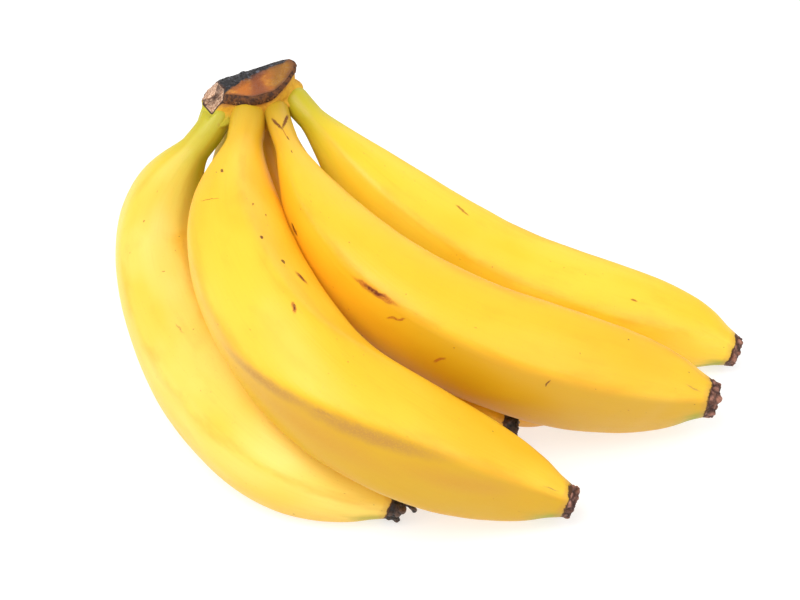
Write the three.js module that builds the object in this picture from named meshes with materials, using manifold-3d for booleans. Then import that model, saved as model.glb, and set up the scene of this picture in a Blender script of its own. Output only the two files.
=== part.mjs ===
// A cluster of six ripe dessert bananas, cut from a larger hand.
// Four fingers stand in the front row and two in the back row. All hang from one crown and
// rest on the table with their lower halves. Millimetres, +Z up.
import * as THREE from "three";
import { mergeVertices } from "three/addons/utils/BufferGeometryUtils.js";
import Module from "manifold-3d";

const wasm = await Module();
wasm.setup();

// ---------------------------------------------------------------- driving dimensions
const RINGS = 26; // rings along a finger
const SIDES = 20; // corners round a finger, four to each of its five faces
const GAP = 0.3; // clearance kept between two pieces that touch
const PRESS = 0.5; // how far the soft peel flattens against the table
const FACES = 5; // a finger has five rounded faces
const RIDGE = 0.022; // height of the ridges between them, as a share of the radius

// The centreline of each finger runs through a smooth curve guided by these points, from the
// crown to the tip. radius is the finger's largest, neck its radius at the crown, straight the
// length of that neck, flare the length over which it widens into the body, tip the radius of
// the blunt end, full how long the body stays full before it tapers to that end, withered the
// length of the dried flower on it, and roll turns the ridges.
const FINGERS = [
  {
    name: "banana_front_1",
    flower: "dried_flower_front_1",
    radius: 17.5, neck: 5.2, straight: 17, flare: 21, roll: 10, tip: 4.8, full: 3.2, withered: 4.2,
    style: [[-2, -61, 9], [1, -62, 9.5], [4, -63, 8.5], [4.5, -63.5, 6.5]],
    path: [[-60,54,82], [-62,47,76], [-77,43,62], [-84,38,36],
      [-71,2,18], [-52,-30,17], [-33,-56,16], [-3,-60,7]],
  },
  {
    name: "banana_front_2",
    flower: "dried_flower_front_2",
    radius: 18.1, neck: 6, straight: 16, flare: 27, roll: 0, tip: 5.3, full: 3.8, withered: 2.6,
    path: [[-50,54,82], [-51,39,76], [-54,11,64], [-45,-24,58],
      [-26,-51,47], [2,-63,33], [28,-57,16], [50,-61,9]],
  },
  {
    name: "banana_front_3",
    flower: "dried_flower_front_3",
    radius: 18.8, neck: 4.2, straight: 21, flare: 43, roll: 0, tip: 6.4, full: 4.3, withered: 3,
    path: [[-42,54,82], [-38,36,79], [-26,5,68], [-4,-19,55],
      [25,-28,43], [52,-25,31], [79,-15,17], [99,-18,14]],
  },
  {
    name: "banana_front_4",
    flower: "dried_flower_front_4",
    radius: 17.2, neck: 4.7, straight: 13, flare: 32, roll: 0, tip: 5.8, full: 3.9, withered: 2.4,
    path: [[-38,60,84], [-24,46,74], [-7,32,60], [18,28,40],
      [44,22,29], [69,18,22], [94,20,14], [113,16,8]],
  },
  {
    name: "banana_back_1",
    flower: "dried_flower_back_1",
    radius: 15.5, neck: 5, straight: 8, flare: 30, roll: 0, tip: 4.8, full: 3, withered: 4.5,
    path: [[-52,59,80], [-57,58,67], [-57,48,46], [-42,22,19],
      [-20,-6,15], [2,-20,14.5], [19,-27,15], [33,-29,13]],
  },
  {
    name: "banana_back_2",
    flower: "dried_flower_back_2",
    radius: 15, neck: 5.5, straight: 8, flare: 30, roll: 0, tip: 5, full: 3, withered: 4,
    path: [[-43,57,81], [-42,54,67], [-30,42,43], [-8,27,19],
      [10,13,15], [24,-1,14], [38,-15,13], [58,-9,5]],
  },
];

// The crown: its outline from above, the heights it is cut from, and its three knife cuts.
const CROWN_OUTLINE = [[-67, 56], [-65, 52], [-57, 49], [-48, 47], [-41, 49], [-37, 54], [-35, 59],
  [-35, 62], [-40, 66], [-48, 64], [-57, 62], [-65, 60]];
const CROWN_BOTTOM = 75;
const CROWN_TOP = 97;
const CROWN_ROUND = 1.5;
const CROWN_MIDDLE = [-50, 57, 84];
const CROWN_TOP_CUT = { through: [-48, 49, 89], facing: [-0.09, -0.29, 1] };
const CROWN_SIDE_CUT = { through: [-62, 53, 86.5], facing: [-0.42, -0.62, 0.55] };
const CROWN_BACK_CUT = { through: [-49, 57, 92.5], facing: [-0.3, 0.3, 1] };
const CROWN_END_CUT = { through: [-64.7, 54.3, 85], facing: [-0.69, 0.1, 0.72] };
const STYLE_RADIUS = 0.9; // of the withered style curling from the first flower

// ---------------------------------------------------------------- a finger's shape
// A uniform cubic B-spline that starts and ends on its first and last guide point.
class GuidedCurve extends THREE.Curve {
  constructor(guides) {
    super();
    const p = guides.map((g) => new THREE.Vector3(...g));
    const before = p[0].clone().multiplyScalar(2).sub(p[1]);
    const after = p.at(-1).clone().multiplyScalar(2).sub(p.at(-2));
    this.points = [before, ...p, after];
  }
  getPoint(t, target = new THREE.Vector3()) {
    const spans = this.points.length - 3;
    const i = Math.min(Math.floor(t * spans), spans - 1);
    const f = t * spans - i;
    const weights = [(1 - f) ** 3, 3 * f ** 3 - 6 * f ** 2 + 4,
      -3 * f ** 3 + 3 * f ** 2 + 3 * f + 1, f ** 3];
    target.set(0, 0, 0);
    weights.forEach((w, k) => target.addScaledVector(this.points[i + k], w / 6));
    return target;
  }
}

// Radius at a distance along the finger: a straight neck, a flare into the body, and a taper
// to the blunt tip over the far half.
function radiusAt(finger, distance, length) {
  const into = Math.max(0, distance - finger.straight) / finger.flare;
  const flared = 1 - Math.exp(-(into ** 1.4));
  const half = Math.max(0, distance / length - 0.5) * 2;
  const taper = finger.tip + (finger.radius - finger.tip) * (1 - half ** finger.full) ** 0.95;
  return finger.neck + (taper - finger.neck) * flared;
}

// How strongly the five ridges show: not on the neck or at the tip, fully on the body.
const ridgeShare = (u) => Math.min(1, Math.max(0, (u - 0.1) / 0.15)) * Math.min(1, (1 - u) / 0.1);

// The closed skin of a finger, grown outwards by extra.
function fingerGeometry(finger, extra = 0) {
  const curve = new GuidedCurve(finger.path);
  curve.arcLengthDivisions = 400;
  const length = curve.getLength();
  const frames = curve.computeFrenetFrames(RINGS, false);
  const vertices = [];
  for (let i = 0; i <= RINGS; i++) {
    const u = i / RINGS;
    const centre = curve.getPointAt(u);
    const radius = radiusAt(finger, u * length, length) + extra;
    for (let k = 0; k < SIDES; k++) {
      const angle = (k / SIDES) * 2 * Math.PI;
      const ridge = 1 + RIDGE * ridgeShare(u) * Math.cos(FACES * angle);
      const turned = angle + THREE.MathUtils.degToRad(finger.roll);
      const corner = centre.clone()
        .addScaledVector(frames.normals[i], radius * ridge * Math.cos(turned))
        .addScaledVector(frames.binormals[i], radius * ridge * Math.sin(turned));
      vertices.push(corner);
    }
  }
  const start = vertices.push(curve.getPointAt(0).addScaledVector(frames.tangents[0], -extra)) - 1;
  const end = vertices.push(curve.getPointAt(1).addScaledVector(frames.tangents[RINGS], extra)) - 1;
  const faces = [];
  for (let k = 0; k < SIDES; k++) {
    const next = (k + 1) % SIDES;
    for (let i = 0; i < RINGS; i++) {
      const [a, b, c, d] = [i * SIDES + k, i * SIDES + next, (i + 1) * SIDES + next, (i + 1) * SIDES + k];
      faces.push(a, b, c, a, c, d);
    }
    faces.push(start, next, k, end, RINGS * SIDES + k, RINGS * SIDES + next);
  }
  return new THREE.BufferGeometry().setFromPoints(vertices).setIndex(faces);
}

// ---------------------------------------------------------------- solids
function toSolid(geometry) {
  const bare = geometry.clone();
  bare.deleteAttribute("normal");
  bare.deleteAttribute("uv");
  const merged = mergeVertices(bare, 1e-3);
  return new wasm.Manifold(new wasm.Mesh({
    numProp: 3,
    vertProperties: new Float32Array(merged.attributes.position.array),
    triVerts: new Uint32Array(merged.index.array),
  }));
}

function toGeometry(solid) {
  const mesh = solid.getMesh();
  return new THREE.BufferGeometry()
    .setAttribute("position", new THREE.BufferAttribute(new Float32Array(mesh.vertProperties), 3))
    .setIndex(new THREE.BufferAttribute(new Uint32Array(mesh.triVerts), 1));
}

// ---------------------------------------------------------------- the dried flower ends
// A short scab across the blunt tip, a little narrower at its far side.
function flowerSolid(finger) {
  const curve = new GuidedCurve(finger.path);
  const along = curve.getTangentAt(1);
  const scab = new THREE.CylinderGeometry(finger.tip * 0.78, finger.tip * 0.97, finger.withered, 14);
  scab.translate(0, finger.withered / 2 + GAP, 0);
  scab.applyQuaternion(new THREE.Quaternion().setFromUnitVectors(new THREE.Vector3(0, 1, 0), along));
  scab.translate(...finger.path.at(-1));
  const solid = toSolid(scab);
  return finger.style ? solid.add(rodSolid(finger.style, STYLE_RADIUS)) : solid;
}

// A round rod along a guided curve: the withered style that still curls from one flower.
function rodSolid(guides, radius) {
  const round = new THREE.Shape().absarc(0, 0, radius, 0, 2 * Math.PI);
  return toSolid(new THREE.ExtrudeGeometry(round, {
    extrudePath: new GuidedCurve(guides), steps: 6, curveSegments: 8, bevelEnabled: false,
  }));
}

// ---------------------------------------------------------------- the crown
// A slab of cushion tissue, cut with a knife across the top and down one end.
function crownSolid() {
  const outline = new THREE.Shape(CROWN_OUTLINE.map(([x, y]) => new THREE.Vector2(x, y)));
  const slab = new THREE.ExtrudeGeometry(outline, {
    depth: CROWN_TOP - CROWN_BOTTOM, steps: 1, bevelEnabled: true,
    bevelThickness: CROWN_ROUND, bevelSize: CROWN_ROUND, bevelOffset: -CROWN_ROUND, bevelSegments: 2,
  });
  slab.translate(0, 0, CROWN_BOTTOM);
  return toSolid(slab)
    .subtract(halfSpace(CROWN_TOP_CUT))
    .subtract(halfSpace(CROWN_SIDE_CUT))
    .subtract(halfSpace(CROWN_BACK_CUT))
    .subtract(halfSpace(CROWN_END_CUT));
}

// Everything on the far side of a flat cut, as a big block.
function halfSpace({ through, facing }) {
  const size = 200;
  const block = new THREE.BoxGeometry(size, size, size);
  block.translate(0, 0, size / 2);
  block.applyQuaternion(new THREE.Quaternion()
    .setFromUnitVectors(new THREE.Vector3(0, 0, 1), new THREE.Vector3(...facing).normalize()));
  block.translate(...through);
  return toSolid(block);
}

// The same solid, swollen a little about its own middle, to cut clearance with.
function swollen(solid, middle, factor) {
  const [x, y, z] = middle;
  return solid.translate([-x, -y, -z]).scale([factor, factor, factor]).translate([x, y, z]);
}

// ---------------------------------------------------------------- put together
const table = halfSpace({ through: [0, 0, PRESS], facing: [0, 0, -1] });
const crown = crownSolid();
const crownCutter = swollen(crown, CROWN_MIDDLE, 1.04);
const bunch = new THREE.Group();

function addPiece(name, solid, colour, roughness) {
  const mesh = new THREE.Mesh(toGeometry(solid),
    new THREE.MeshStandardMaterial({ color: colour, roughness, metalness: 0 }));
  mesh.name = name;
  bunch.add(mesh);
}

// Each finger gives way to the ones before it in this order, where they press together.
const cutters = [crownCutter];
for (const finger of FINGERS) {
  let solid = toSolid(fingerGeometry(finger)).subtract(table);
  for (const cutter of cutters) solid = solid.subtract(cutter);
  cutters.push(toSolid(fingerGeometry(finger, GAP)));
  addPiece(finger.name, solid, "#f2c92e", 0.42);
}
for (const finger of FINGERS) {
  addPiece(finger.flower, flowerSolid(finger).subtract(table), "#4a3426", 0.9);
}
addPiece("crown", crown, "#8a5a30", 0.8);

// The origin goes to the middle of the underside of the whole bunch.
const box = new THREE.Box3().setFromObject(bunch);
const middle = box.getCenter(new THREE.Vector3());
bunch.children.forEach((mesh) => mesh.geometry.translate(-middle.x, -middle.y, -box.min.z));

export default bunch;
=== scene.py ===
"""A cluster of six ripe bananas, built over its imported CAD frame.

Each finger is a lofted skin with its own procedural peel. The crown and the dried flower ends are
lofted and roughened in code. Guides and sizes are in millimetres; everything made is in metres.
"""

import math

import bpy
import numpy as np
from mathutils import Matrix, Vector, noise


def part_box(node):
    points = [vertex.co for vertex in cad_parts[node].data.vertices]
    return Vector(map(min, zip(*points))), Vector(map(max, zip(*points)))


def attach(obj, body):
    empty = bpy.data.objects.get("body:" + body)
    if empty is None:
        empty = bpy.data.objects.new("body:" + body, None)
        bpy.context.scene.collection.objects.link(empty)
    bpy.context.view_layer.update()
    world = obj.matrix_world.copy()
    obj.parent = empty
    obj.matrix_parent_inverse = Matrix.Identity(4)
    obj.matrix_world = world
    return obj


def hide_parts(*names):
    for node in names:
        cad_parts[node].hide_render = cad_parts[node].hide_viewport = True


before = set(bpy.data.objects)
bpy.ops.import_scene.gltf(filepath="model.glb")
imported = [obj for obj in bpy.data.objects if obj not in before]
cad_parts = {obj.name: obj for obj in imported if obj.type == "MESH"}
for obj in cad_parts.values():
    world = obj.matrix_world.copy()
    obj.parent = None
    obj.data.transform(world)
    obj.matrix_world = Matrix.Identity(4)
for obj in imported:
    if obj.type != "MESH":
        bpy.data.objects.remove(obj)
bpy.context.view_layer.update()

# ---------------------------------------------------------------- driving dimensions (mm)
MM = 0.001
CROWN_CORNER = np.array([-67, 47, 73.5])  # the crown's lowest corner, where the guides were drawn
ORIGIN = CROWN_CORNER - np.array(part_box("crown")[0]) / MM  # the frame's origin among the guides

SIDES = 112  # corners round a finger
ROWS = 230  # rings along a finger
CAP_ROWS = 6  # rings across the blunt tip, under the dried flower
DOME_ROWS = 14  # rings over the rounded top of the neck, inside the crown
FACES = 5  # a finger has five faces
FLATNESS = 0.44  # how far the section goes from a circle towards a five-sided shape
CORNER_SHARPNESS = 15  # power that rounds the corners of that shape
SECTION_SIZE = 1.062  # what that shape is divided by, so that its mean radius is about 1
WAIST = 0.09  # how much a finger narrows just before its blunt tip, as a share of the tip
WAIST_LENGTH = 4  # how far before the tip that is, and how long it is
CAP_MIDDLE = 0.15  # size of the innermost ring across the blunt tip, as a share of the tip
LUMP = 0.35  # height of the slow unevenness of the skin
TOUCH = 0.45  # softness of the edge where two fingers press together
TABLE_TOUCH = 0.3  # softness of the edge of the flat where a finger lies on the table
NECK_LENGTH = 20  # the stretch of a finger, from the crown, that presses on no neighbour
GIVES_WAY = (16, 26)  # distances from the crown where a finger starts to give way, and fully does
PRESS_REACH = 4  # skin farther than this from a neighbour stays where it is
FLOOR_Z = 0.5  # height of the table among the guides


def srgb(red, green, blue):
    """A colour given as it looks on a screen, 0 to 255, as Blender's linear red, green, blue, alpha."""
    def linear(value):
        value /= 255
        return value / 12.92 if value <= 0.04045 else ((value + 0.055) / 1.055) ** 2.4
    return (linear(red), linear(green), linear(blue), 1)


GOLD = srgb(250, 191, 36)
LEMON = srgb(252, 212, 62)
OCHRE = srgb(222, 150, 22)
GREEN = srgb(158, 182, 24)
# The neck's own tan by the crown, with painted shade where the necks crowd together under it.
COLLAR_TAN_AND_SHADE = srgb(190, 146, 40)
TIP_GREEN = srgb(158, 158, 20)
# Painted shade: the darker yellow of the undersides, where less light falls.
SHADED_BELLY = srgb(198, 152, 4)
TAN = srgb(196, 140, 58)
FLECK = srgb(176, 96, 26)
SPECK = srgb(122, 58, 20)
SCAB_EDGE = srgb(84, 50, 26)
COLLAR_TAN_AND_SHADE_TO, COLLAR_TAN_AND_SHADE_SHARE = 28, 0.6  # reach and strength of the tan and painted shade from the crown, where a look says none
MARK_DRIFT = 1.6  # how far noise bends the marks' outlines, in mm
# A mark's tone: its colour, its strength and how soft its edge is; the shade tone is painted shade.
TONES = {
    "painted_shade": (srgb(208, 150, 40), 0.7, 0.95),
    "bruise": (srgb(182, 130, 62), 0.75, 0.9),
    "rust": (srgb(176, 88, 22), 0.85, 0.5),
    "scar": (srgb(104, 38, 10), 0.97, 0.5),
}


# Guides run from the crown to the tip. radius is the largest, neck the radius at the crown,
# straight the neck's length, flare the length over which it widens, tip the radius of the blunt
# end, full how long the body stays full, withered the length of the dried flower. twist turns the
# ridges back by its last number of degrees between two distances from the crown.
#
# In a look, base and second are the two yellows. green is how strong the neck's green is and
# green_to how far it reaches; the two collar entries say the same of the tan and painted shade
# at the crown; tip_green is how strong the green by the tip is. The belly entry is the angle of
# the ridge above the underside, which is darkened by painted shade. A mark runs between two
# places, each a distance along the finger in mm and an angle round it in degrees, and has a
# width in mm and a tone.
FINGERS = [
    dict(
        name="banana_front_1", flower="dried_flower_front_1", black=True,
        radius=17.5, neck=5.2, straight=17, flare=21, roll=10, tip=4.8,
        full=3.2, withered=4.2,
        path=[(-60, 54, 82), (-62, 47, 76), (-77, 43, 62), (-84, 38, 36),
              (-71, 2, 18), (-52, -30, 17), (-33, -56, 16), (-3, -60, 7)],
        style=[(-2, -61, 9), (1, -62, 9.5), (4, -63, 8.5), (4.5, -63.5, 6.5)],
        # The first yellow is the peel's lemon made paler and bluer: a painted sheen over the finger.
        look=dict(base=srgb(252, 216, 100), second=srgb(250, 204, 66), green=1.0, green_to=70,
                  tip_green=0.7, marks=[
                      ((7, 200), (7, 235), 1.6, "bruise"), ((96, 250), (104, 246), 0.9, "bruise"),
                      ((44, 262), (45, 262), 0.7, "rust"), ((72, 240), (72, 242), 0.7, "rust"),
                  ]),
    ),
    dict(
        name="banana_front_2", flower="dried_flower_front_2", black=False,
        radius=18.1, neck=6, straight=16, flare=27, roll=0, tip=5.3, twist=(95, 155, 42),
        full=3.8, withered=2.6,
        path=[(-50, 54, 82), (-51, 39, 76), (-54, 11, 64), (-45, -24, 58),
              (-26, -51, 47), (2, -63, 33), (28, -57, 16), (50, -61, 9)],
        look=dict(base=GOLD, second=srgb(251, 200, 50), green=0.25, green_to=44, tip_green=0.9, shaded_belly=288,
                  collar_tan_and_shade=0.7, collar_tan_and_shade_to=32, marks=[
            ((37, 289), (38, 286), 1.7, "scar"), ((49, 315), (53, 283), 0.6, "rust"),
            ((90, 234), (94, 230), 2.8, "rust"), ((91, 233), (93, 231), 2.0, "scar"),
            ((101, 262), (104, 266), 1.7, "rust"), ((102, 263), (103, 265), 0.9, "scar"),
            ((85, 244), (86, 243), 1.5, "scar"), ((75, 254), (76, 254), 1.2, "scar"),
            ((62, 238), (63, 238), 0.9, "rust"), ((58, 250), (59, 251), 0.8, "rust"),
            ((92, 352), (132, 308), 6.0, "bruise"), ((114, 328), (160, 288), 7.0, "bruise"),
            ((122, 318), (131, 310), 3.0, "bruise"), ((192, 280), (199, 275), 1.2, "bruise"),
            # Painted shade over the underside facet below the ridge.
            ((104, 352), (150, 326), 14.0, "painted_shade"), ((140, 322), (186, 300), 11.0, "painted_shade"),
        ]),
    ),
    dict(
        name="banana_front_3", flower="dried_flower_front_3", black=False,
        radius=18.8, neck=4.2, straight=21, flare=43, roll=0, tip=6.4,
        full=4.3, withered=3,
        path=[(-42, 54, 82), (-38, 36, 79), (-26, 5, 68), (-4, -19, 55),
              (25, -28, 43), (52, -25, 31), (79, -15, 17), (99, -18, 14)],
        look=dict(base=GOLD, second=srgb(250, 196, 44), green=0.3, green_to=34, tip_green=0.95, shaded_belly=216,
                  collar_tan_and_shade=0.85, collar_tan_and_shade_to=36, marks=[
            ((11, 225), (18, 188), 3.0, "scar"), ((18, 195), (10, 132), 2.8, "scar"),
            ((16, 194), (23, 180), 1.8, "rust"), ((22, 181), (23, 180), 1.8, "scar"),
            ((29, 190), (30, 190), 1.3, "scar"), ((53, 262), (57, 260), 2.6, "scar"),
            ((80, 224), (94, 218), 3.0, "rust"), ((84, 222), (90, 219), 1.6, "scar"),
            ((93, 236), (97, 225), 1.2, "rust"), ((108, 252), (110, 241), 1.2, "rust"),
            ((136, 229), (136, 222), 0.8, "scar"),
            ((189, 190), (197, 196), 1.6, "bruise"),
        ]),
    ),
    dict(
        name="banana_front_4", flower="dried_flower_front_4", black=False,
        radius=17.2, neck=4.7, straight=13, flare=32, roll=0, tip=5.8,
        full=3.9, withered=2.4,
        path=[(-38, 60, 84), (-24, 46, 74), (-7, 32, 60), (18, 28, 40),
              (44, 22, 29), (69, 18, 22), (94, 20, 14), (113, 16, 8)],
        look=dict(base=srgb(252, 204, 44), second=LEMON, green=0.95, green_to=60, tip_green=0.95, marks=[
            ((69, 166), (75, 171), 1.3, "rust"), ((138, 193), (140, 193), 1.0, "rust"),
        ]),
    ),
    dict(
        name="banana_back_1", flower="dried_flower_back_1", black=True,
        radius=15.5, neck=5, straight=8, flare=30, roll=0, tip=4.8,
        full=3, withered=4.5,
        path=[(-52, 59, 80), (-57, 58, 67), (-57, 48, 46), (-42, 22, 19),
              (-20, -6, 15), (2, -20, 14.5), (19, -27, 15), (33, -29, 13)],
        look=dict(base=GOLD, second=LEMON, green=0.5, green_to=46, tip_green=0.3, marks=[
            ((80, 40), (95, 50), 3.0, "bruise"),
        ]),
    ),
    dict(
        name="banana_back_2", flower="dried_flower_back_2", black=True,
        radius=15, neck=5.5, straight=8, flare=30, roll=0, tip=5,
        full=3, withered=4,
        path=[(-43, 57, 81), (-42, 54, 67), (-30, 42, 43), (-8, 27, 19),
              (10, 13, 15), (24, -1, 14), (38, -15, 13), (58, -9, 5)],
        look=dict(base=GOLD, second=OCHRE, green=0.3, green_to=40, tip_green=0.4, marks=[
            ((70, 30), (78, 34), 1.4, "rust"),
        ]),
    ),
]


def to_frame(points):
    """Points among the guides, in mm, as metres in the frame."""
    return (np.asarray(points, float) - ORIGIN) * MM


# ---------------------------------------------------------------- curves and sections
def spline_points(guides, count):
    """Evenly spaced points on a cubic B-spline that starts and ends on its end guides, and its length."""
    p = np.array(guides, float)
    p = np.vstack([2 * p[0] - p[1], p, 2 * p[-1] - p[-2]])
    spans = len(p) - 3
    t = np.linspace(0, spans, 4001)
    i = np.minimum(t.astype(int), spans - 1)
    f = (t - i)[:, None]
    dense = ((1 - f) ** 3 * p[i] + (3 * f**3 - 6 * f**2 + 4) * p[i + 1]
             + (-3 * f**3 + 3 * f**2 + 3 * f + 1) * p[i + 2] + f**3 * p[i + 3]) / 6
    steps = np.linalg.norm(np.diff(dense, axis=0), axis=1)
    along = np.concatenate([[0], np.cumsum(steps)])
    even = np.linspace(0, along[-1], count)
    return np.stack([np.interp(even, along, dense[:, k]) for k in range(3)], 1), along[-1]


def carried_frames(points):
    """Tangents and two directions across, carried along the curve without twist."""
    tangents = np.gradient(points, axis=0)
    tangents /= np.linalg.norm(tangents, axis=1)[:, None]
    first = np.zeros(3)
    first[np.argmin(np.abs(tangents[0]))] = 1
    side = np.cross(tangents[0], first)
    normal = np.cross(tangents[0], side / np.linalg.norm(side))
    normals = []
    for tangent in tangents:
        normal = normal - tangent * np.dot(normal, tangent)
        normal = normal / np.linalg.norm(normal)
        normals.append(normal)
    normals = np.array(normals)
    return tangents, normals, np.cross(tangents, normals)


def smooth_step(low, high, value):
    """Smoothly from 0 at low to 1 at high; low may be the larger."""
    t = np.clip((np.asarray(value, float) - low) / (high - low), 0, 1)
    return t * t * (3 - 2 * t)


def finger_radius(finger, distance, length):
    """Radius along a finger: rounded top, straight neck, flare into the body, taper to the blunt tip."""
    into = np.maximum(0, distance - finger["straight"]) / finger["flare"]
    flared = 1 - np.exp(-into**1.4)
    half = np.clip(distance / length - 0.5, 0, 0.5) * 2
    taper = finger["tip"] + (finger["radius"] - finger["tip"]) * (1 - half ** finger["full"]) ** 0.95
    radius = finger["neck"] + (taper - finger["neck"]) * flared
    from_waist = (length - distance - WAIST_LENGTH) / WAIST_LENGTH
    radius = radius - WAIST * finger["tip"] * np.exp(-(from_waist**2))
    dome = finger["neck"]
    top = np.clip(1 - distance / dome, 0, 1)
    return radius * np.sqrt(1 - top**2)


def five_sided(angle):
    """A rounded five-sided section as a share of its mean radius, with a corner at angle 0."""
    faces = (np.arange(FACES) + 0.5) * 2 * np.pi / FACES
    toward = np.maximum(0, np.cos(angle[..., None] - faces))
    section = np.sum(toward**CORNER_SHARPNESS, axis=-1) ** (-1 / CORNER_SHARPNESS)
    return section / SECTION_SIZE


def ridge_turn(finger, distance):
    """How far a finger's five corners are turned from their resting angle, along it."""
    start, end, degrees = finger.get("twist", (0, 1, 0))
    return math.radians(degrees) * smooth_step(end, start, distance)


def corner_share(angle):
    """1 on the five corner ridges and 0 in the middle of the faces."""
    return np.maximum(0, np.cos(FACES * angle)) ** 3


# ---------------------------------------------------------------- a finger's skin
def finger_skin(finger):
    """The rings of a finger in mm among the guides, with the skin's own coordinates."""
    line, length = spline_points(finger["path"], 1201)
    tangents, normals, sides = carried_frames(line)
    dome = finger["neck"]
    top = dome * (1 - np.cos(np.linspace(0, np.pi / 2, DOME_ROWS)))
    distance = np.concatenate([top, np.linspace(dome, length, ROWS - DOME_ROWS + 1)[1:]])
    row = distance / length * (len(line) - 1)
    pick = lambda values: np.stack(
        [np.interp(row, np.arange(len(line)), values[:, k]) for k in range(3)], 1)
    centre, across, aside, forward = pick(line), pick(normals), pick(sides), pick(tangents)
    radius = finger_radius(finger, distance, length)
    angle = np.linspace(0, 2 * np.pi, SIDES, endpoint=False)
    turned = angle + math.radians(finger["roll"])
    share = distance / length
    faceting = smooth_step(0.04, 0.22, share) * smooth_step(1.0, 0.9, share)
    corners = angle[None] - ridge_turn(finger, distance)[:, None]
    section = 1 + FLATNESS * faceting[:, None] * (five_sided(corners) - 1)
    reach = radius[:, None] * section
    seed = Vector((finger["radius"] * 7, finger["neck"] * 13, finger["tip"] * 5))
    skin = np.stack([
        np.repeat(distance[:, None], SIDES, 1),
        finger["radius"] * np.cos(angle)[None] * np.ones((len(distance), 1)),
        finger["radius"] * np.sin(angle)[None] * np.ones((len(distance), 1)),
    ], -1)
    lumps = np.array([noise.noise(Vector(p) / 26 + seed) + 0.35 * noise.noise(Vector(p) / 9 - seed)
                      for p in skin.reshape(-1, 3)]).reshape(reach.shape)
    reach = reach + LUMP * lumps * smooth_step(0, 12, distance)[:, None]
    radial = (across[:, None] * np.cos(turned)[None, :, None]
              + aside[:, None] * np.sin(turned)[None, :, None])
    points = centre[:, None] + radial * reach[..., None]
    return dict(finger=finger, length=length, distance=distance, centre=centre, radius=radius,
                points=points, skin=skin, corners=corners, forward=forward, across=across,
                aside=aside)


def pressed(depth, softness):
    """How far a skin gives way at a depth inside its neighbour, starting gently just before it touches."""
    return (depth + np.sqrt(depth**2 + softness**2)) / 2


def press_together(surfaces):
    """Fingers that touch flatten each other: each gives half of the overlap."""
    moves = [np.zeros_like(s["points"]) for s in surfaces]
    for a, ours in enumerate(surfaces):
        flat = ours["points"].reshape(-1, 3)
        for b, theirs in enumerate(surfaces):
            if a == b:
                continue
            body = theirs["distance"] > NECK_LENGTH
            centre, radius = theirs["centre"][body], theirs["radius"][body]
            near = np.full(len(flat), 1e9)
            where = np.zeros(len(flat), int)
            for block in range(0, len(flat), 4000):
                gap = np.linalg.norm(flat[block:block + 4000, None] - centre[None], axis=2) - radius
                where[block:block + 4000] = gap.argmin(1)
                near[block:block + 4000] = gap.min(1)
            away = flat - centre[where]
            away /= np.linalg.norm(away, axis=1)[:, None]
            give = pressed(-near, TOUCH) / 2
            give[near > PRESS_REACH] = 0
            give = give.reshape(ours["points"].shape[:2])
            give *= smooth_step(*GIVES_WAY, ours["distance"])[:, None]
            moves[a] += away.reshape(ours["points"].shape) * give[..., None]
    for surface, move in zip(surfaces, moves):
        surface["points"] = surface["points"] + move
        height = surface["points"][..., 2] - FLOOR_Z
        surface["points"][..., 2] = FLOOR_Z + pressed(height, TABLE_TOUCH)


# ---------------------------------------------------------------- meshes
def ring_mesh(name, rings, attributes):
    """A smooth mesh through rings of points in mm; its ends close on their middles."""
    rows, count = rings.shape[:2]
    points = [to_frame(rings.reshape(-1, 3))]
    faces = []
    for i in range(rows - 1):
        for k in range(count):
            n = (k + 1) % count
            faces.append((i * count + k, i * count + n, (i + 1) * count + n, (i + 1) * count + k))
    total = rows * count
    values = {key: [v.reshape(total, -1)] for key, v in attributes.items()}
    for row in (0, rows - 1):
        points.append(to_frame(rings[row].mean(0))[None])
        for k in range(count):
            n = (k + 1) % count
            pair = (row * count + k, row * count + n)
            faces.append((total, *(pair if row else pair[::-1])))
        for key, v in attributes.items():
            values[key].append(v[row].reshape(count, -1).mean(0)[None])
        total += 1
    mesh = bpy.data.meshes.new(name)
    mesh.from_pydata(np.vstack(points).tolist(), [], faces)
    for key, parts in values.items():
        data = np.vstack(parts).astype(np.float32)
        kind = "FLOAT_VECTOR" if data.shape[1] == 3 else "FLOAT"
        attribute = mesh.attributes.new(key, kind, "POINT")
        attribute.data.foreach_set("vector" if data.shape[1] == 3 else "value", data.ravel())
    mesh.polygons.foreach_set("use_smooth", [True] * len(mesh.polygons))
    mesh.update()
    piece = bpy.data.objects.new(name, mesh)
    bpy.context.scene.collection.objects.link(piece)
    return piece


def shaded_belly_share(finger, corners, share):
    """Where painted shade darkens a finger's underside: 1 below its lowest visible ridge, and 0 above it.
    """
    if "shaded_belly" not in finger["look"]:
        return np.zeros_like(share)
    turn = (np.degrees(corners) - finger["look"]["shaded_belly"] + 180) % 360 - 180
    return smooth_step(-5, 9, turn) * smooth_step(130, 90, turn) * smooth_step(0.3, 0.6, share)


def place(piece, material, slot, *nodes):
    """Give a piece its material and let it stand for its CAD nodes; slot is not used."""
    piece.data.materials.append(material)
    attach(piece, "root")
    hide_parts(*nodes)
    return piece


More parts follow.
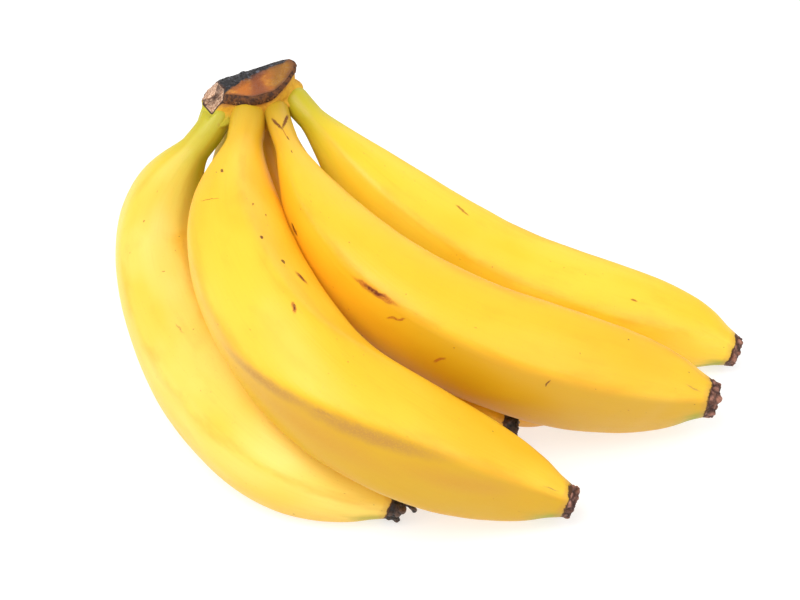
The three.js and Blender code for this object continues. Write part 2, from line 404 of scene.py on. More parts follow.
def build_finger(surface):
    """A finger's peel, closed across its blunt tip."""
    finger = surface["finger"]
    points, skin = surface["points"], surface["skin"]
    middle = points[-1].mean(0)
    shrink = np.linspace(1, CAP_MIDDLE, CAP_ROWS + 1)[1:]
    cap = middle + (points[-1][None] - middle) * shrink[:, None, None]
    rings = np.concatenate([points, cap])
    cap_skin = np.repeat(skin[-1][None], CAP_ROWS, 0)
    coordinates = np.concatenate([skin, cap_skin])
    corners = surface["corners"]
    ridges = corner_share(np.concatenate([corners, np.repeat(corners[-1:], CAP_ROWS, 0)]))
    share = coordinates[..., 0] / surface["length"]
    below = rings.mean(1)[:, None, 2] - rings[..., 2]
    under = smooth_step(-0.2, 0.9, below / np.maximum(1, np.abs(below).max(1))[:, None])
    # Painted shade on the underside: below the belly ridge, and half as strong on every lower side.
    shaded_belly = shaded_belly_share(finger, corners[np.minimum(np.arange(len(rings)), len(corners) - 1)], share)
    return ring_mesh(finger["name"] + "_peel", rings, attributes={
        "skin": coordinates, "ridge": ridges, "share": share, "under": under,
        "shaded_belly": np.maximum(shaded_belly, 0.5 * under)})


# ---------------------------------------------------------------- materials
class Nodes:
    """A material's shader, and short ways to add nodes that feed it."""

    def __init__(self, name):
        self.material = bpy.data.materials.new(name)
        self.material.use_nodes = True
        self.tree = self.material.node_tree
        self.shader = self.tree.nodes["Principled BSDF"]

    def join(self, value, socket):
        if isinstance(value, bpy.types.NodeSocket):
            self.tree.links.new(value, socket)
        else:
            socket.default_value = value

    def add(self, kind, inputs, **settings):
        """A new node with its settings made and its inputs joined or set; None leaves one as it is."""
        node = self.tree.nodes.new("ShaderNode" + kind)
        for key, value in settings.items():
            setattr(node, key, value)
        for key, value in inputs.items():
            if value is not None:
                self.join(value, node.inputs[key])
        return node

    def attribute(self, name, output="Fac"):
        return self.add("Attribute", {}, attribute_name=name).outputs[output]

    def place(self):
        return self.add("TexCoord", {}).outputs["Object"]

    def math(self, operation, a, b):
        return self.add("Math", {0: a, 1: b}, operation=operation).outputs[0]

    def times(self, a, b):
        return self.math("MULTIPLY", a, b)

    def plus(self, a, b):
        return self.math("ADD", a, b)

    def vector(self, operation, a, b=None, scale=None):
        node = self.add("VectorMath", {0: a, 1: b, "Scale": scale}, operation=operation)
        return node.outputs["Value" if operation == "LENGTH" else "Vector"]

    def step(self, value, low, high, to_low=0.0, to_high=1.0):
        """Smoothly from to_low at low to to_high at high."""
        (low, to_low), (high, to_high) = sorted([(low, to_low), (high, to_high)])
        ends = {"From Min": low, "From Max": high, "To Min": to_low, "To Max": to_high}
        node = self.add("MapRange", {"Value": value, **ends}, interpolation_type="SMOOTHSTEP")
        return node.outputs["Result"]

    def mix(self, factor, a, b):
        return self.add("Mix", {"Factor": factor, 6: a, 7: b}, data_type="RGBA").outputs[2]

    def noise(self, vector, scale, detail=3.0, roughness=0.55, output="Fac"):
        inputs = {"Vector": vector, "Scale": scale, "Detail": detail, "Roughness": roughness}
        return self.add("TexNoise", inputs).outputs[output]

    def cells(self, vector, scale):
        return self.add("TexVoronoi", {"Vector": vector, "Scale": scale})

    def placed(self, vector, location=(0, 0, 0), rotation=(0, 0, 0), scale=(1, 1, 1), kind="POINT"):
        inputs = {"Vector": vector, "Location": location, "Rotation": rotation, "Scale": scale}
        return self.add("Mapping", inputs, vector_type=kind).outputs["Vector"]

    def bump(self, height, distance, strength):
        node = self.add("Bump", {"Height": height, "Strength": strength, "Distance": distance})
        self.join(node.outputs["Normal"], self.shader.inputs["Normal"])


def mark_mask(nodes, skin, radius, mark):
    """1 inside one mark on the skin: a narrow ellipse between two places, each a distance along and
    an angle round the finger."""
    start, end, width, tone = mark
    def spot(place):
        distance, degrees = place
        turn = math.radians(degrees)
        return Vector((distance, radius * math.cos(turn), radius * math.sin(turn)))
    a, b = spot(start), spot(end)
    middle = (a + b) / 2
    outward = Vector((0, middle.y, middle.z)).normalized()
    along = (b - a) if (b - a).length > 0.1 else Vector((1, 0, 0))
    along = (along - outward * along.dot(outward)).normalized()
    across = outward.cross(along)
    turn = Matrix((along, across, outward)).transposed().to_euler()
    half = (b - a).length / 2 + width / 2
    place = nodes.placed(skin, middle, turn, (half, width / 2, 4 * half), kind="TEXTURE")
    softness = TONES[tone][2]
    return nodes.step(nodes.vector("LENGTH", place), 1.0, 1.0 - softness)


def ripe_yellow(nodes, look, skin, middle, fibres):
    """Two yellows in slow patches, with ochre in the fibres and on the ridges, and painted shade on the
    underside.
    """
    slow = nodes.noise(nodes.placed(skin, scale=(0.5, 1, 1)), 0.045, 2)
    colour = nodes.mix(nodes.step(slow, 0.35, 0.65), look["base"], look["second"])
    colour = nodes.mix(nodes.step(middle, 0.52, 0.78, 0, 0.16), colour, OCHRE)
    colour = nodes.mix(nodes.step(fibres, 0.5, 0.8, 0, 0.08), colour, OCHRE)
    # Painted shade darkens the underside.
    colour = nodes.mix(nodes.times(nodes.attribute("shaded_belly"), 0.75), colour, SHADED_BELLY)
    wear = nodes.times(nodes.attribute("ridge"), nodes.step(middle, 0.4, 0.65, 0.05, 0.28))
    return nodes.mix(wear, colour, OCHRE)


def tinted_ends(nodes, look, along, length, middle, colour):
    """Tan and painted shade down the neck from the crown, green down the neck, and green again before the
    tip, mostly underneath.
    """
    under = nodes.attribute("under")
    # Tan by the crown, reaching further down the neck as painted shade.
    collar_tan_and_shade = nodes.step(along, look.get("collar_tan_and_shade_to", COLLAR_TAN_AND_SHADE_TO), 3, 0, look.get("collar_tan_and_shade", COLLAR_TAN_AND_SHADE_SHARE))
    colour = nodes.mix(collar_tan_and_shade, colour, COLLAR_TAN_AND_SHADE)
    wandering = nodes.plus(along, nodes.times(middle, 16))
    neck = nodes.step(wandering, look["green_to"], 6, 0, look["green"])
    neck = nodes.times(neck, nodes.step(under, 0.0, 0.8, 0.55, 1))
    colour = nodes.mix(neck, colour, GREEN)
    tip = nodes.step(wandering, length - 5, length + 5, 0, look["tip_green"])
    tip = nodes.times(tip, nodes.step(under, 0.0, 0.45, 0.05, 1))
    return nodes.mix(tip, colour, TIP_GREEN)


def painted_marks(nodes, finger, skin, fine, colour):
    """The colour with the finger's marks and painted shade on it, and how marked each place is."""
    marked = 0.0
    for tone, (paint, strength, _) in TONES.items():
        masks = [mark_mask(nodes, skin, finger["radius"], mark)
                 for mark in finger["look"]["marks"] if mark[3] == tone]
        if masks:
            whole = masks[0]
            for mask in masks[1:]:
                whole = nodes.math("MAXIMUM", whole, mask)
            whole = nodes.times(whole, nodes.step(fine, 0.3, 0.55, 0.5, 1))
            whole = nodes.times(whole, strength)
            colour = nodes.mix(whole, colour, paint)
            marked = nodes.math("MAXIMUM", marked, whole)
    return colour, marked


def speckled(nodes, skin, warped, middle, colour):
    """The colour with scattered dark dots, reddish flecks and fine pores, and where the dots are."""
    dots = nodes.cells(warped, 0.23)
    dot = nodes.times(nodes.step(dots.outputs["Distance"], 0.09, 0.045),
                      nodes.step(dots.outputs["Color"], 0.7, 0.78))
    colour = nodes.mix(nodes.times(dot, 0.75), colour, SPECK)
    flecks = nodes.cells(nodes.placed(warped, scale=(0.6, 1, 1)), 0.42)
    chosen = nodes.times(nodes.step(flecks.outputs["Color"], 0.5, 0.6), nodes.step(middle, 0.45, 0.6))
    fleck = nodes.times(nodes.step(flecks.outputs["Distance"], 0.12, 0.04), chosen)
    colour = nodes.mix(nodes.times(fleck, 0.6), colour, FLECK)
    pores = nodes.cells(skin, 0.75)
    pore = nodes.times(nodes.step(pores.outputs["Distance"], 0.22, 0.1),
                       nodes.step(pores.outputs["Color"], 0.55, 0.7))
    return nodes.mix(nodes.times(pore, 0.16), colour, TAN), dot


def withered_edge(nodes, along, length, colour):
    """The colour with the ragged brown edge of the peel round its dried flower, and where that is."""
    ragged = nodes.noise(nodes.place(), 260, 4, 0.65)
    edge = nodes.plus(along, nodes.times(ragged, 4.0))
    scab = nodes.step(edge, length + 0.9, length + 1.5)
    colour = nodes.mix(nodes.step(edge, length - 1.5, length + 1.0, 0, 0.45), colour, TAN)
    return nodes.mix(scab, colour, SCAB_EDGE), scab


def peel_material(finger, length):
    """Ripe peel: yellow that turns green at the neck and near the tip, ridges, fibres, flecks and marks,
    with painted shade on the underside and by the crown.
    """
    nodes = Nodes(finger["name"] + "_peel")
    skin = nodes.attribute("skin", "Vector")
    along = nodes.times(nodes.attribute("share"), length)
    middle = nodes.noise(nodes.placed(skin, scale=(0.4, 1, 1)), 0.16, 4)
    fibres = nodes.noise(nodes.placed(skin, scale=(0.03, 1, 1)), 0.9, 3, 0.6)
    fine = nodes.noise(skin, 2.2, 4, 0.6)
    drift = nodes.vector("SUBTRACT", nodes.noise(skin, 0.45, 3, 0.5, "Color"), (0.5, 0.5, 0.5))
    warped = nodes.vector("ADD", skin, nodes.vector("SCALE", drift, scale=MARK_DRIFT))

    colour = ripe_yellow(nodes, finger["look"], skin, middle, fibres)
    colour = tinted_ends(nodes, finger["look"], along, length, middle, colour)
    colour, marked = painted_marks(nodes, finger, warped, fine, colour)
    colour, dot = speckled(nodes, skin, warped, middle, colour)
    colour, scab = withered_edge(nodes, along, length, colour)
    nodes.join(colour, nodes.shader.inputs["Base Color"])

    rough = nodes.plus(fine, nodes.times(middle, 0.5))
    rough = nodes.step(rough, 0.5, 1.0, 0.36, 0.48)
    dull = nodes.math("MAXIMUM", nodes.times(scab, 0.8), nodes.times(marked, 0.8))
    nodes.join(nodes.math("MAXIMUM", rough, dull), nodes.shader.inputs["Roughness"])
    nodes.shader.inputs["Specular IOR Level"].default_value = 0.4
    nodes.shader.inputs["Subsurface Weight"].default_value = 0.12
    nodes.shader.inputs["Subsurface Radius"].default_value = (1.0, 0.45, 0.08)
    nodes.shader.inputs["Subsurface Scale"].default_value = 0.003
    height = nodes.plus(nodes.times(fibres, 0.4), nodes.times(fine, 0.2))
    height = nodes.math("SUBTRACT", height, nodes.times(dot, 0.3))
    nodes.bump(height, 0.00025, 0.5)
    return nodes.material


def scab_material(name, dark, light, gloss):
    """Dried flower end: crumpled, darker in the hollows as painted shade and paler on the lumps as a
    painted highlight, with small shiny spots.
    """
    nodes = Nodes(name)
    height = nodes.attribute("height")
    place = nodes.place()
    grain = nodes.noise(place, 900, 4, 0.65)
    blotch = nodes.noise(place, 320, 3)
    # Painted shade in the creases and painted highlight on the lumps, following the crumple height.
    raised = nodes.step(nodes.plus(height, nodes.times(blotch, 0.5)), 0.35, 1.05)
    colour = nodes.mix(raised, dark, light)
    colour = nodes.mix(nodes.step(grain, 0.45, 0.7, 0, 0.6), colour, dark)
    nodes.join(colour, nodes.shader.inputs["Base Color"])
    nodes.join(nodes.step(grain, 0.35, 0.6, gloss, 0.85), nodes.shader.inputs["Roughness"])
    nodes.bump(nodes.plus(grain, blotch), 0.0005, 0.8)
    return nodes.material


CROWN_COLOURS = {
    "green_neck": srgb(194, 184, 48), "yellow_neck": srgb(222, 180, 40), "flesh": srgb(232, 178, 44),
    "shaded_flesh": srgb(206, 144, 34), "rim_shadow": srgb(158, 98, 38), "bark": srgb(108, 62, 24),
    "dark_bark": srgb(58, 30, 12), "cork": srgb(158, 112, 70), "amber": srgb(228, 150, 40),
    "deep_amber": srgb(188, 104, 14), "brown_amber": srgb(142, 72, 24), "olive": srgb(134, 90, 10),
    "pale_amber": srgb(232, 176, 92), "stain": srgb(116, 62, 24), "cut_edge": srgb(104, 56, 24),
    "black": srgb(24, 20, 22), "painted_glint": srgb(104, 106, 120), "singed": srgb(92, 50, 26),
    "pith": srgb(170, 124, 94), "pale_pith": srgb(226, 188, 158), "torn_edge": srgb(62, 36, 24),
}


def crown_flesh(nodes, below, band, across, grain, blotch):
    """Ochre flesh with painted shadow just under the rim, then the yellow or green of the necks that the
    flesh runs into.
    """
    c = CROWN_COLOURS
    necks = nodes.mix(nodes.step(across, -55, -45), c["green_neck"], c["yellow_neck"])
    # Painted shade: a darker, shaded copy of the flesh, laid in blotches.
    flesh = nodes.mix(nodes.step(blotch, 0.4, 0.65), c["flesh"], c["shaded_flesh"])
    near_neck = nodes.plus(nodes.attribute("low"), nodes.step(across, -58, -64, 0, 0.8))
    near_neck = nodes.plus(near_neck, nodes.times(blotch, 0.4))
    flesh = nodes.mix(nodes.step(near_neck, 0.5, 0.95), flesh, necks)
    # Painted shadow that the rim casts on the flesh below it.
    under_rim = nodes.math("SUBTRACT", nodes.plus(below, nodes.times(grain, 2)), band)
    return nodes.mix(nodes.step(under_rim, 2.4, 1.0, 0, 0.75), flesh, c["rim_shadow"])


def crown_bark(nodes, below, band, place, grain):
    """Dark bark, with paler corky dots along its lower edge."""
    c = CROWN_COLOURS
    bark = nodes.mix(nodes.step(grain, 0.4, 0.6), c["dark_bark"], c["bark"])
    spots = nodes.cells(place, 1100)
    dotted = nodes.times(nodes.step(spots.outputs["Distance"], 0.34, 0.18, 0, 0.75),
                         nodes.step(nodes.math("DIVIDE", below, band), 0.3, 0.65))
    return nodes.mix(dotted, bark, c["cork"])


def crown_cut(nodes, below, across, place, grain, blotch):
    """The knife cut: amber, deeper in the middle, olive at its far end, black where it has dried, with
    painted bluish-grey glints on the black.
    """
    c = CROWN_COLOURS
    scorch = nodes.attribute("scorch")
    wide = nodes.noise(place, 75, 2)
    amber = nodes.plus(across, nodes.times(wide, 8))
    cut = nodes.mix(nodes.step(blotch, 0.42, 0.62), c["deep_amber"], c["amber"])
    deeper = nodes.times(nodes.step(amber, -48, -44), nodes.step(amber, -39, -43))
    cut = nodes.mix(deeper, cut, c["brown_amber"])
    cut = nodes.mix(nodes.step(amber, -42, -37, 0, 0.8), cut, c["olive"])
    pale_patch = nodes.times(nodes.step(wide, 0.5, 0.62, 0, 0.7), nodes.step(scorch, -3, -6))
    cut = nodes.mix(pale_patch, cut, c["pale_amber"])
    cut = nodes.mix(nodes.step(grain, 0.55, 0.75, 0, 0.35), cut, c["stain"])
    cut = nodes.mix(nodes.step(below, -1.6, -0.4, 0, 0.7), cut, c["cut_edge"])
    # Painted glints: bluish-grey flecks over the glossy black.
    black = nodes.mix(nodes.step(grain, 0.52, 0.7), c["black"], c["painted_glint"])
    scorched = nodes.step(nodes.plus(scorch, nodes.times(blotch, 2.4)), 1.0, 1.6)
    cut = nodes.mix(nodes.step(scorch, -1.6, 0.4, 0, 0.6), cut, c["singed"])
    return nodes.mix(scorched, cut, black)


def crown_material():
    """The cut crown: flesh below, barky rim, the knife cut on top and the pale side cut."""
    c = CROWN_COLOURS
    nodes = Nodes("crown")
    below, band, across = (nodes.attribute(name) for name in ("below_rim", "band", "across"))
    place = nodes.place()
    grain = nodes.noise(place, 800, 5, 0.65)
    blotch = nodes.noise(place, 150, 4, 0.6)

    edge = nodes.math("SUBTRACT", nodes.plus(below, nodes.times(blotch, 1.2)), band)
    colour = nodes.mix(nodes.step(edge, 0.85, 0.5),
                       crown_flesh(nodes, below, band, across, grain, blotch),
                       crown_bark(nodes, below, band, place, grain))
    on_cap = nodes.step(below, 0.1, -0.5)
    colour = nodes.mix(on_cap, colour, crown_cut(nodes, below, across, place, grain, blotch))

    pitted = nodes.noise(place, 1700, 3, 0.6)
    pale = nodes.mix(nodes.step(pitted, 0.4, 0.62), c["pith"], c["pale_pith"])
    torn = nodes.plus(nodes.attribute("side_cut"), nodes.times(blotch, 0.8))
    colour = nodes.mix(nodes.step(torn, -0.15, 0.15), colour, c["torn_edge"])
    colour = nodes.mix(nodes.step(torn, 0.35, 0.65), colour, pale)
    nodes.join(colour, nodes.shader.inputs["Base Color"])
    shine = nodes.times(on_cap, nodes.step(blotch, 0.45, 0.6, 0.3, 0.5))
    nodes.join(nodes.math("SUBTRACT", 0.78, shine), nodes.shader.inputs["Roughness"])
    nodes.bump(nodes.plus(grain, blotch), 0.0006, 0.7)
    return nodes.material


# ---------------------------------------------------------------- dried flower ends
SCAB_SIDES = 96  # corners round a scab
SCAB_ROWS = 46  # rings from its edge to its middle
LIP_START, LIP_END = 0.35, 0.6  # the shares of those rings between which its lip rolls over
HOLLOW = 0.35  # depth of the hollow inside the lip, as a share of the scab's height
STYLE_ROWS = 40
STYLE_SIDES = 28
STYLE_RADIUS = 0.9
STYLE_END = 0.88  # the share of the style's length where it starts to round off


def crumple(point, size, seed):
    """0 in the creases between lumps of about that size, towards 1 on them."""
    distances = noise.voronoi(Vector(point) / size + Vector((seed, -seed, seed * 2)))[0]
    return min(1.0, (distances[1] - distances[0]) * 1.6)


def scab_profile(t, tip, height):
    """Radius and rise of a scab at a share of its rings: up the side, over the lip, into the hollow."""
    if t < LIP_START:
        k = t / LIP_START
        return tip * (1.0 - 0.1 * k), -0.5 + (height * 0.8 + 0.5) * k
    if t < LIP_END:
        k = (t - LIP_START) / (LIP_END - LIP_START) * np.pi
        return tip * (0.76 + 0.14 * np.cos(k)), height * (0.8 + 0.2 * np.sin(k))
    k = (t - LIP_END) / (1 - LIP_END)
    return tip * 0.62 * (1 - k) + 0.02, height * (0.8 - HOLLOW * smooth_step(0, 0.5, k))


def build_scab(surface):
    """A crumpled scab over the blunt tip: a rolled lip, a hollow inside it and a few lumps."""
    finger = surface["finger"]
    end, forward = surface["centre"][-1], surface["forward"][-1]
    across, aside = surface["across"][-1], surface["aside"][-1]
    forward = forward / np.linalg.norm(forward)
    seed = finger["radius"] + finger["neck"]
    rows, heights = [], []
    angle = np.linspace(0, 2 * np.pi, SCAB_SIDES, endpoint=False)
    for t in np.linspace(0, 1, SCAB_ROWS):
        radius, rise = scab_profile(t, finger["tip"], finger["withered"])
        fade = min(1, t / 0.12)
        row, high = [], []
        for a in angle:
            out = across * math.cos(a) + aside * math.sin(a)
            base = end + out * radius + forward * rise
            lump = crumple(base, 2.3, seed) * 0.7 + crumple(base, 1.1, -seed) * 0.3
            wander = noise.noise(Vector(base) / 3.2)
            push = (lump - 0.45) * 0.95 + wander * 0.7
            direction = out * (1 - smooth_step(0.3, 0.6, t)) + forward * smooth_step(0.25, 0.5, t)
            row.append(base + direction * push * fade)
            high.append(lump * 0.8 + 0.3 * wander + 0.1)
        rows.append(row)
        heights.append(high)
    rings = np.array(rows)
    rings[..., 2] = np.maximum(rings[..., 2], FLOOR_Z + 0.05)
    return ring_mesh(finger["flower"] + "_scab", rings, attributes={"height": np.array(heights)})


def build_style(guides, seed):
    """The withered style that still curls from a flower: a tapering, knobbly stub."""
    line, _ = spline_points(guides, STYLE_ROWS)
    _, normals, sides = carried_frames(line)
    rings, heights = [], []
    for i, point in enumerate(line):
        k = i / (len(line) - 1)
        rounding = max(0, (k - STYLE_END) / (1 - STYLE_END))
        thick = STYLE_RADIUS * (1.15 - 0.25 * k) * math.sqrt(max(0.02, 1 - rounding**2))
        row, high = [], []
        for a in np.linspace(0, 2 * np.pi, STYLE_SIDES, endpoint=False):
            out = normals[i] * math.cos(a) + sides[i] * math.sin(a)
            bump = noise.noise(Vector(point + out * thick) / 1.1 + Vector((seed, 0, 0)))
            row.append(point + out * (thick + 0.28 * bump))
            high.append(0.4 + bump)
        rings.append(row)
        heights.append(high)
    return ring_mesh("style", np.array(rings), attributes={"height": np.array(heights)})


def join_pieces(piece, *others):
    bpy.ops.object.select_all(action="DESELECT")
    for item in (piece, *others):
        item.select_set(True)
    bpy.context.view_layer.objects.active = piece
    bpy.ops.object.join()
    return piece


# ---------------------------------------------------------------- crown
CROWN_OUTLINE = [(-67, 56), (-65, 52), (-57, 49), (-48, 47), (-41, 49), (-37, 54), (-35, 59),
                 (-35, 62), (-40, 66), (-48, 64), (-57, 62), (-65, 60)]
CROWN_BOTTOM = 75
CROWN_SIDES = 220  # corners round it
SIDE_ROWS = 70  # rings down its side
CUT_ROWS = 46  # rings across its cut, the rim and the middle included
FLESH_LEVELS = 40  # heights at which the reach of its flesh is worked out
RIM_HEIGHT = 3.5  # of the barky band under the knife cut
RIM_THINNING = 2.0  # how much lower the band is at the crown's far end
RIM_THINS = (-46, -36)  # between these it gets lower, from left to right
RIM_STARTS = (-66.5, -63.5)  # and between these it begins
TOP_CUT = dict(through=(-48, 49, 89), facing=(-0.09, -0.29, 1))
BACK_CUT = dict(through=(-49, 57, 92.5), facing=(-0.3, 0.3, 1))
END_CUT = dict(through=(-64.7, 54.3, 85), facing=(-0.69, 0.1, 0.72))
SIDE_CUT = dict(through=(-62, 53, 86.5), facing=(-0.42, -0.62, 0.55))
SIDE_CUT_CORNERS = ((-57.7, 55, 91.7), (-58.6, 50, 85.8), (-61.5, 50, 80.4), (-66.5, 54.3, 83.2))
# Necks that run straight into the crown's flesh, and how far down them it reaches.
FUSED_NECKS = {"banana_front_1": 9, "banana_front_4": 7}
SLICED_NECK = "banana_front_1"  # its top stands in the side cut's way
SLICED_LENGTH = 18  # the stretch of it that is sliced
SLICED_DEPTH = 0.6  # how far inside the side cut it ends
FUSED_LENGTH = 24  # the stretch of a fused neck that the flesh can follow


def cut_height(cut, x, y):
    """Height of a knife cut's plane over a place."""
    (px, py, pz), (nx, ny, nz) = cut["through"], cut["facing"]
    return pz - (nx * (x - px) + ny * (y - py)) / nz


def crown_height(x, y):
    """Height of the crown's cut surface over a place."""
    return min(cut_height(cut, x, y) for cut in (TOP_CUT, BACK_CUT, END_CUT))


def crown_outline():
    """The crown's outline from above, evenly spaced, with its corners slightly rounded."""
    corners = np.array(CROWN_OUTLINE + CROWN_OUTLINE[:1], float)
    along = np.concatenate([[0], np.cumsum(np.linalg.norm(np.diff(corners, axis=0), axis=1))])
    even = np.linspace(0, along[-1], CROWN_SIDES, endpoint=False)
    line = np.stack([np.interp(even, along, corners[:, k]) for k in (0, 1)], 1)
    for _ in range(12):
        line = (np.roll(line, 1, 0) + 2 * line + np.roll(line, -1, 0)) / 4
    return line


def side_cut_plane():
    facing = np.array(SIDE_CUT["facing"], float)
    return np.array(SIDE_CUT["through"], float), facing / np.linalg.norm(facing)


def inside_side_cut(points):
    """How far points are inside the four-cornered side cut, seen square on; negative outside it."""
    facing = side_cut_plane()[1]
    corners = np.array(SIDE_CUT_CORNERS, float)
    depth = np.full(points.shape[:-1], 1e9)
    for start, end in zip(corners[:-1], corners[1:]):
        inward = np.cross(end - start, facing)
        inward /= np.linalg.norm(inward)
        if (corners.mean(0) - start) @ inward < 0:
            inward = -inward
        depth = np.minimum(depth, (points - start) @ inward)
    return depth


def sliced(points, clearance=0.0):
    """Points pressed back to the side cut's plane where they stand out of it."""
    through, facing = side_cut_plane()
    over = np.maximum(0, (points - through) @ facing + clearance)
    over = over * smooth_step(-2.2, 0.1, inside_side_cut(points))
    return points - over[..., None] * facing


def trim_neck(surface):
    """Slice the top of a neck just inside the crown's side cut."""
    near = surface["distance"] < SLICED_LENGTH
    surface["points"][near] = sliced(surface["points"][near], SLICED_DEPTH)


def flesh_reach(flat, middle, z, necks):
    """How far the flesh reaches at one height towards each place of the outline: out to the outline,
    or round the necks that are fused into the crown."""
    away = flat - middle
    reach = np.linalg.norm(away, axis=1)
    away = away / reach[:, None]
    for neck in necks:
        rows = neck["distance"] < FUSED_LENGTH
        heights, centre = neck["centre"][rows][::-1, 2], neck["centre"][rows][::-1, :2]
        at = np.array([np.interp(z, heights, centre[:, k]) for k in (0, 1)]) - middle
        down = float(np.interp(z, heights, neck["distance"][rows][::-1]))
        end = FUSED_NECKS[neck["finger"]["name"]]
        radius = neck["finger"]["neck"] + 1.0 - 2.0 * smooth_step(end - 4, end, down)
        radius = radius * smooth_step(91, 85, z) * smooth_step(end + 4, end, down)
        forward = away @ at
        inside = radius**2 - (at @ at - forward**2)
        hit = forward + np.sqrt(np.maximum(inside, 0))
        reach = np.where((inside > 0) & (forward > 0), np.maximum(reach, hit), reach)
    for _ in range(5):
        reach = (np.roll(reach, 1) + 2 * reach + np.roll(reach, -1)) / 4
    return middle + away * reach[:, None]


def rim_band(outline):
    """Height of the barky band at each place of the outline: none at the left end, low at the right."""
    band = RIM_HEIGHT - RIM_THINNING * smooth_step(*RIM_THINS, outline[:, 0])
    band = band * smooth_step(*RIM_STARTS, outline[:, 0])
    return band + 0.5 * np.array([noise.noise(Vector((x, y, 0)) / 5) for x, y in outline])


def dried_depth(x, y):
    """How far inside the black dried strip along the back of the cut a place is."""
    top, back = cut_height(TOP_CUT, x, y), cut_height(BACK_CUT, x, y)
    return (top - back) + 0.09 * (-45 - x) + 2.2 - 1.5 * float(smooth_step(-60, -47, x))


def barky_side(p, out, deep, band):
    """A place down the side: swollen and cracked where the rim's bark is, rounded at the very top."""
    barky = smooth_step(band + 0.5, band - 0.3, deep) * min(1, max(0, band))
    rough = 0.4 * noise.noise(Vector(p) / 2.2) + 0.3 * crumple(p, 1.0, 5)
    bulge = 0.5 * math.sin(math.pi * min(1, deep / max(0.5, band))) + rough * 0.7
    p = p + out * (barky * bulge - 0.2 * (1 - barky))
    return p - out * 0.4 * smooth_step(0.5, 0, deep)


def cut_face(p, dried, inward):
    """A place on the knife cut: crumpled where it has dried, slightly hollow where it hasn't."""
    dry = smooth_step(-0.4, 0.8, dried + noise.noise(Vector(p) / 3))
    p[2] += dry * (0.6 * crumple(p, 2.0, 3) + 0.4 * noise.noise(Vector(p) / 2) - 0.3)
    p[2] += (1 - dry) * 0.3 * noise.noise(Vector(p) / 3.5)
    p[2] -= (1 - dry) * (0.5 * smooth_step(0, 0.3, inward) + 0.5 * smooth_step(0.2, 0.9, inward))
    return p


def side_cut_depth(p, x, y, inward):
    """How far inside the pale side cut, or the end cut beside it, a place is; negative outside both."""
    through, facing = side_cut_plane()
    over = float(np.dot(p - through, facing))
    torn = min(cut_height(TOP_CUT, x, y), cut_height(BACK_CUT, x, y)) - cut_height(END_CUT, x, y) - 0.5
    return max(min(over + 0.1, float(inside_side_cut(p))), torn if inward else -9)


def build_crown(necks):
    """The crown: rings down its side, from the bottom to the rim, and then across its cut."""
    outline = crown_outline()
    middle = outline.mean(0)
    facing = side_cut_plane()[1]
    rings, below, scorch, side, across = [], [], [], [], []
    rim = np.array([crown_height(x, y) for x, y in outline])
    band = rim_band(outline)

    def add_row(flat, height, inward, deep):
        """One ring, roughened and sliced by the side cut; inward is 0 down the side."""
        row, dried_row, side_row = [], [], []
        for k, p in enumerate(np.column_stack([flat, height])):
            x, y, _ = p
            dried = dried_depth(x, y)
            if inward == 0:
                out = np.array([x - middle[0], y - middle[1], 0])
                out /= np.linalg.norm(out) + 1e-9
                p = barky_side(p, out, deep[k], band[k])
            else:
                p = cut_face(p, dried, inward)
            p = sliced(p) + facing * 0.12 * crumple(p, 1.0, 9)
            row.append(p)
            dried_row.append(dried)
            side_row.append(side_cut_depth(p, x, y, inward))
        rings.append(row)
        scorch.append(dried_row)
        side.append(side_row)
        below.append(deep if inward == 0 else [-inward * 9] * len(flat))
        across.append([p[0] for p in row])

    levels = np.linspace(CROWN_BOTTOM - 1, 94, FLESH_LEVELS)
    swell = np.array([np.linalg.norm(flesh_reach(outline, middle, z, necks) - middle, axis=1)
                      / np.linalg.norm(outline - middle, axis=1) for z in levels])
    for share in np.linspace(0, 1, SIDE_ROWS):
        height = CROWN_BOTTOM + (rim - CROWN_BOTTOM) * share
        deep = rim - height
        narrow = 0.35 + 0.65 * smooth_step(-0.15, 0.7, share)
        plain = middle + (outline - middle) * narrow
        fleshy = smooth_step(band - 0.1, band + 0.9, deep)[:, None]
        grown = np.array([np.interp(z, levels, swell[:, k]) for k, z in enumerate(height)])[:, None]
        reach = np.where(grown > 1.001, np.maximum(grown, narrow), narrow)
        flesh = middle + (outline - middle) * reach
        add_row(plain + (flesh - plain) * fleshy, height, 0, deep)
    for inward in np.linspace(0, 1, CUT_ROWS)[1:-1]:
        flat = middle + (outline - middle) * (1 - inward)
        add_row(flat, [crown_height(x, y) for x, y in flat], inward, None)
    low = smooth_step(85, 77, np.array(rings)[..., 2])
    return ring_mesh("crown_cut", np.array(rings), attributes={
        "below_rim": np.array(below), "scorch": np.array(scorch),
        "side_cut": np.array(side), "across": np.array(across), "low": low,
        "band": np.repeat(band[None], len(rings), 0)})


# ---------------------------------------------------------------- stage
WHITE = (1, 1, 1, 1)
FLOOR_SIZE = 6
FLOOR_GREY = (0.45, 0.45, 0.45, 1)
FLOOR_GLOW = 0.66  # keeps the floor white and its shadows faint
STUDIO_GLOW = 0.48
LIGHT_AIM = (0, 0, 0.04)
# Each soft light's place and size in metres, and its power in watts.
LIGHTS = {
    "key_light": ((-0.3, -0.35, 0.8), (0.6, 0.6), 5.3),
    "left_light": ((-0.8, -0.05, 0.3), (0.7, 0.4), 1.4),
    "fill_light": ((0.6, -0.4, 0.5), (0.8, 0.6), 2.6),
    "back_light": ((0.1, 0.7, 0.6), (0.9, 0.5), 1.5),
}
CAMERA_LENS, CAMERA_SENSOR = 70, 36
CAMERA_TARGET = (0, 0, 40)  # mm, among the guides
CAMERA_TILT = 35  # degrees down
CAMERA_DISTANCE = 0.5  # metres


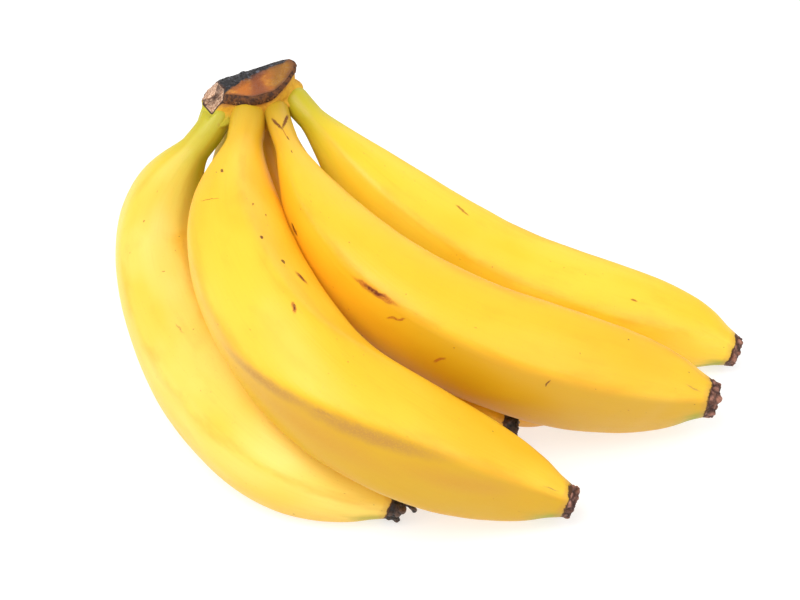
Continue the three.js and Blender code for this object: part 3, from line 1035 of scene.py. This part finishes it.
def build_floor():
    bpy.ops.mesh.primitive_plane_add(size=FLOOR_SIZE)
    floor = bpy.context.object
    floor.name = "floor"
    material = bpy.data.materials.new("floor")
    material.use_nodes = True
    shader = material.node_tree.nodes["Principled BSDF"]
    shader.inputs["Base Color"].default_value = FLOOR_GREY
    shader.inputs["Emission Color"].default_value = WHITE
    shader.inputs["Emission Strength"].default_value = FLOOR_GLOW
    shader.inputs["Roughness"].default_value = 0.9
    floor.data.materials.append(material)


def build_studio():
    scene = bpy.context.scene
    world = bpy.data.worlds.new("studio")
    world.use_nodes = True
    background = world.node_tree.nodes["Background"]
    background.inputs["Color"].default_value = WHITE
    background.inputs["Strength"].default_value = STUDIO_GLOW
    scene.world = world
    scene.view_settings.view_transform = "Standard"
    for name, (at, size, power) in LIGHTS.items():
        data = bpy.data.lights.new(name, "AREA")
        data.shape = "RECTANGLE"
        data.size, data.size_y = size
        data.energy = power
        lamp = bpy.data.objects.new(name, data)
        lamp.location = at
        lamp.rotation_euler = (Vector(LIGHT_AIM) - Vector(at)).to_track_quat("-Z", "Y").to_euler()
        scene.collection.objects.link(lamp)


def build_camera():
    scene = bpy.context.scene
    data = bpy.data.cameras.new("camera")
    data.lens = CAMERA_LENS
    data.sensor_width = CAMERA_SENSOR
    camera = bpy.data.objects.new("camera", data)
    tilt = math.radians(CAMERA_TILT)
    back = Vector((0, -math.cos(tilt), math.sin(tilt)))
    camera.location = Vector(to_frame(CAMERA_TARGET)) + back * CAMERA_DISTANCE
    camera.rotation_euler = (-back).to_track_quat("-Z", "Y").to_euler()
    scene.collection.objects.link(camera)
    scene.camera = camera


# ---------------------------------------------------------------- put together
build_floor()
build_studio()
build_camera()
surfaces = [finger_skin(finger) for finger in FINGERS]
press_together(surfaces)
fused = [surface for surface in surfaces if surface["finger"]["name"] in FUSED_NECKS]
for surface in fused:
    if surface["finger"]["name"] == SLICED_NECK:
        trim_neck(surface)

brown_scab = scab_material("brown_scab", srgb(64, 34, 24), srgb(170, 116, 96), 0.35)
black_scab = scab_material("black_scab", srgb(24, 17, 15), srgb(92, 66, 52), 0.3)
for surface in surfaces:
    finger = surface["finger"]
    place(build_finger(surface), peel_material(finger, surface["length"]), "peel", finger["name"])
    scab = build_scab(surface)
    if "style" in finger:
        join_pieces(scab, build_style(finger["style"], 3))
    place(scab, black_scab if finger["black"] else brown_scab, "dried_flower", finger["flower"])
place(build_crown(fused), crown_material(), "crown", "crown")
